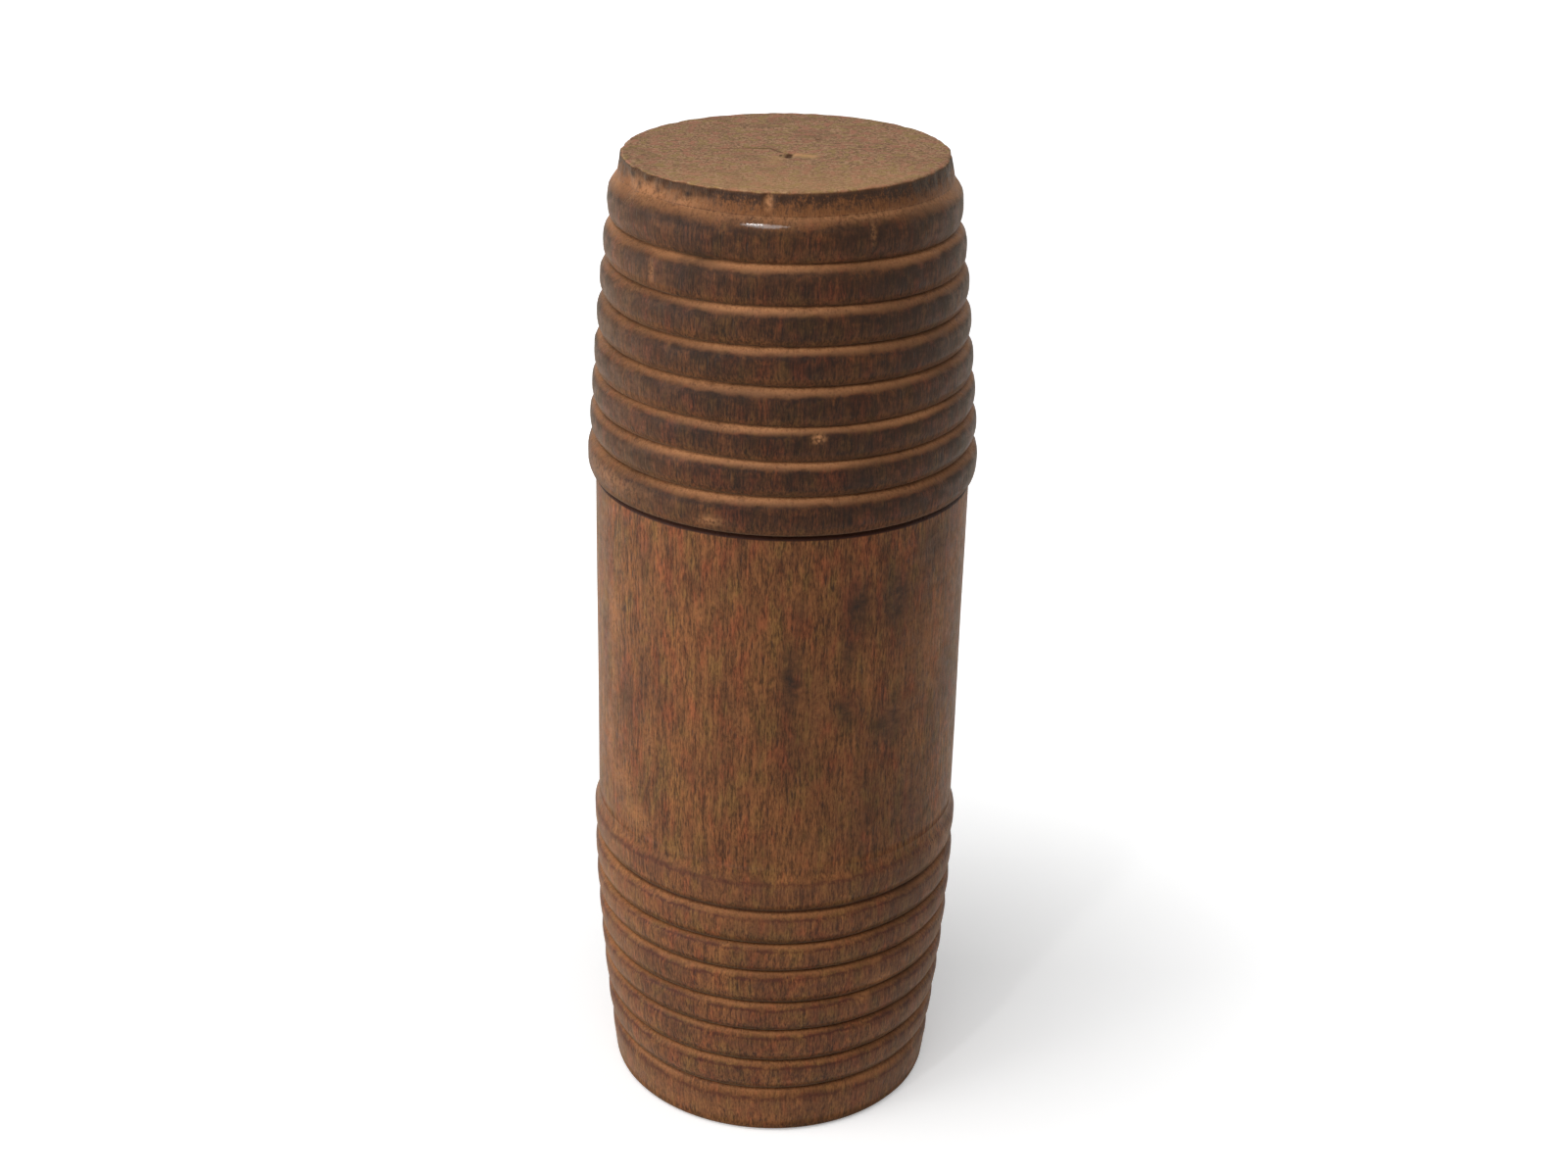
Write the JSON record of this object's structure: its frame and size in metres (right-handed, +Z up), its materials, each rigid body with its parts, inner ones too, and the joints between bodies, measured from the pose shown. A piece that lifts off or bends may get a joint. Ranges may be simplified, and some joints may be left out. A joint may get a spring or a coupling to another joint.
{
  "type": "needle case",
  "caption": "Turned wooden needle case: a hollow beaded body with a spigot, and a beaded push-on lid with a flat crown.",
  "frame": {"origin": "centre of the foot, on the surface the case stands on", "axes": "+Z up along the turning axis, from the foot to the lid's crown; +X and +Y across, with no front of its own"},
  "size_m": [0.0347, 0.0348, 0.09],
  "materials": {
    "body_wood": "worn satin varnish over stained turned hardwood",
    "lid_wood": "worn satin varnish, darker, rubbed through on the bead shoulders"
  },
  "bodies": {
    "case": {"case_body": "body_wood"},
    "lid": {"lid": "lid_wood"}
  },
  "joints": [
    {"name": "lid_lift", "type": "slide", "parent": "case", "child": "lid", "axis": [0, 0, 1], "range_m": [0, 0.02]}
  ]
}
